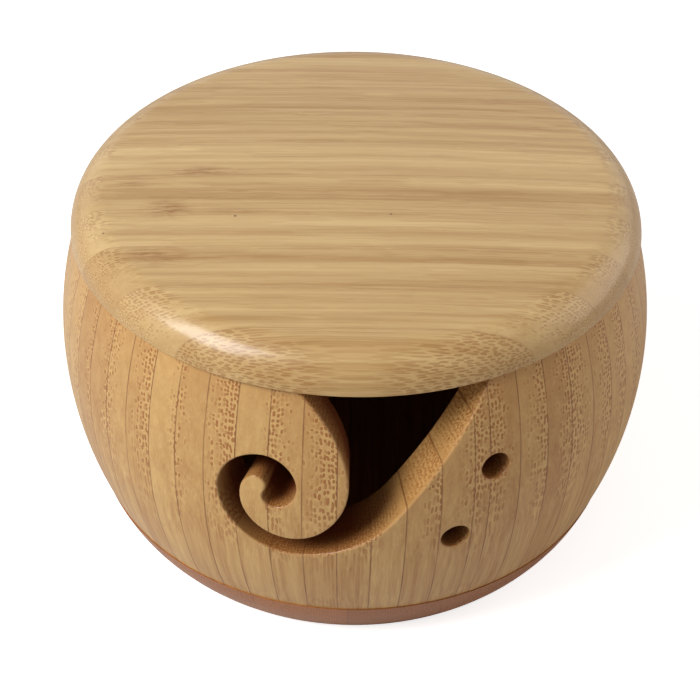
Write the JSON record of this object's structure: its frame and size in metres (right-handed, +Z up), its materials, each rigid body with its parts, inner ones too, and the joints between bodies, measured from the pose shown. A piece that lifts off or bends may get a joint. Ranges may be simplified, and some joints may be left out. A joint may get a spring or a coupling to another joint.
{
  "type": "yarn bowl",
  "caption": "Round yarn bowl of glued bamboo staves on a base disc, with a spiral yarn slot cut in from the rim, needle holes and a lift-off lid.",
  "frame": {"origin": "on the table, under the centre of the bowl's round foot", "axes": "+Z up along the bowl's axis; -Y towards the front, where the yarn slot is; +X to the right as seen from the front, where the needle holes are"},
  "size_m": [0.155, 0.1549, 0.0982],
  "materials": {
    "stave_bamboo": "satin clear lacquer",
    "base_bamboo": "satin clear lacquer, end grain",
    "lid_bamboo": "satin clear lacquer"
  },
  "bodies": {
    "bowl": {"front_stave_01": "stave_bamboo", "front_stave_02": "stave_bamboo", "front_stave_03": "stave_bamboo", "front_stave_04": "stave_bamboo", "front_stave_05": "stave_bamboo", "front_stave_06": "stave_bamboo", "front_stave_07": "stave_bamboo", "front_stave_08": "stave_bamboo", "front_stave_09": "stave_bamboo", "front_stave_10": "stave_bamboo", "front_stave_11": "stave_bamboo", "front_stave_12": "stave_bamboo", "front_stave_13": "stave_bamboo", "front_stave_14": "stave_bamboo", "front_stave_15": "stave_bamboo", "front_stave_16": "stave_bamboo", "front_stave_17": "stave_bamboo", "front_stave_18": "stave_bamboo", "front_stave_19": "stave_bamboo", "front_stave_20": "stave_bamboo", "fitting_stave": "stave_bamboo", "back_staves_01": "stave_bamboo", "back_staves_02": "stave_bamboo", "back_staves_03": "stave_bamboo", "back_staves_04": "stave_bamboo", "back_staves_05": "stave_bamboo", "back_staves_06": "stave_bamboo", "back_staves_07": "stave_bamboo", "back_staves_08": "stave_bamboo", "back_staves_09": "stave_bamboo", "back_staves_10": "stave_bamboo", "back_staves_11": "stave_bamboo", "back_staves_12": "stave_bamboo", "back_staves_13": "stave_bamboo", "back_staves_14": "stave_bamboo", "back_staves_15": "stave_bamboo", "back_staves_16": "stave_bamboo", "back_staves_17": "stave_bamboo", "back_staves_18": "stave_bamboo", "back_staves_19": "stave_bamboo", "base_strip_1": "base_bamboo", "base_strip_2": "base_bamboo", "base_strip_3": "base_bamboo", "base_strip_4": "base_bamboo", "base_strip_5": "base_bamboo", "base_strip_6": "base_bamboo"},
    "lid": {"lid_strip_01": "lid_bamboo", "lid_strip_02": "lid_bamboo", "lid_strip_03": "lid_bamboo", "lid_strip_04": "lid_bamboo", "lid_strip_05": "lid_bamboo", "lid_strip_06": "lid_bamboo", "lid_strip_07": "lid_bamboo", "lid_strip_08": "lid_bamboo", "lid_strip_09": "lid_bamboo", "lid_strip_10": "lid_bamboo"}
  },
  "joints": [
    {"name": "lid_lift", "type": "slide", "parent": "bowl", "child": "lid", "axis": [0, 0, 1], "range_m": [0, 0.12]}
  ]
}
